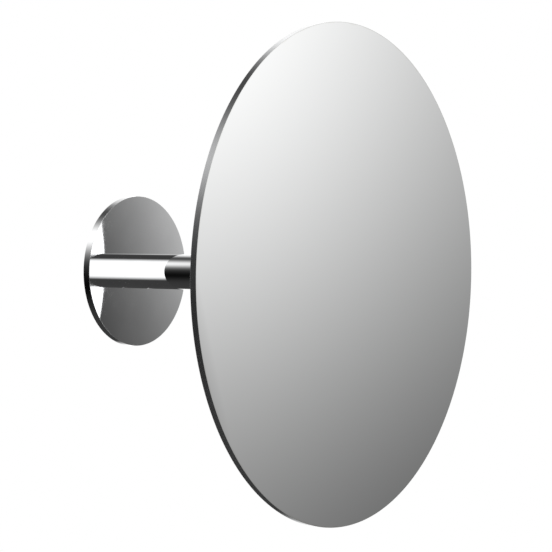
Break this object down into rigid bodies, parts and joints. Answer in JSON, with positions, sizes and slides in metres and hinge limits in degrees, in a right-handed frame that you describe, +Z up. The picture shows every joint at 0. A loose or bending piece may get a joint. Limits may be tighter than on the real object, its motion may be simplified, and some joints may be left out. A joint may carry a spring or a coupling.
{
  "type": "extendable shaving mirror",
  "caption": "Round frameless shaving mirror on a telescopic wall arm, with a chromed wall rose and a ball joint that lets the mirror tilt, swivel and spin.",
  "frame": {"origin": "middle of the wall face, on the axis of the arm", "axes": "+Y into the wall, the arm and the mirror face point along -Y, +Z up, +X to the right of a person who looks into the mirror"},
  "size_m": [0.2, 0.1125, 0.2],
  "materials": {
    "polished_chrome": "polished chrome plate",
    "mirror_glass": "silvered glass",
    "zinc_plate": "zinc plated pressed steel",
    "turned_steel": "turned",
    "screw_steel": "black oxide",
    "spring_steel": "tempered spring steel",
    "dark_nylon": "moulded nylon",
    "pale_acetal": "moulded acetal",
    "adhesive": "adhesive film"
  },
  "bodies": {
    "wall_mount": {"wall_bracket": "zinc_plate", "bracket_spigot": "turned_steel", "spigot_screw": "screw_steel", "wall_rose": "polished_chrome", "outer_tube": "polished_chrome", "grub_screw": "screw_steel", "outer_bush": "dark_nylon"},
    "middle_stage": {"middle_tube": "polished_chrome", "middle_sleeve": "pale_acetal", "middle_bush": "dark_nylon"},
    "inner_stage": {"inner_rod": "polished_chrome", "inner_sleeve": "pale_acetal", "ball_stud": "polished_chrome"},
    "ball_shell": {"front_ball_shell": "pale_acetal"},
    "ball_seat": {"rear_ball_seat": "pale_acetal"},
    "mirror_head": {"disc_spring": "spring_steel", "socket_base": "polished_chrome", "socket_collar": "polished_chrome", "collar_set_screw": "screw_steel", "mirror_pan": "polished_chrome", "bonding_film": "adhesive", "mirror_glass": "mirror_glass"}
  },
  "joints": [
    {"name": "middle_slide", "type": "slide", "parent": "wall_mount", "child": "middle_stage", "axis": [0, -1, 0], "range_m": [0, 0.04]},
    {"name": "inner_slide", "type": "slide", "parent": "middle_stage", "child": "inner_stage", "axis": [0, -1, 0], "range_m": [0, 0.04]},
    {"name": "head_swivel", "type": "hinge", "parent": "inner_stage", "child": "ball_shell", "pos_m": [0, -0.09828, 0], "axis": [0, 0, 1], "range_deg": [-25, 25]},
    {"name": "head_tilt", "type": "hinge", "parent": "ball_shell", "child": "ball_seat", "pos_m": [0, -0.09828, 0], "axis": [1, 0, 0], "range_deg": [-25, 25]},
    {"name": "head_spin", "type": "hinge", "parent": "ball_seat", "child": "mirror_head", "pos_m": [0, -0.09828, 0], "axis": [0, -1, 0], "continuous": true}
  ]
}
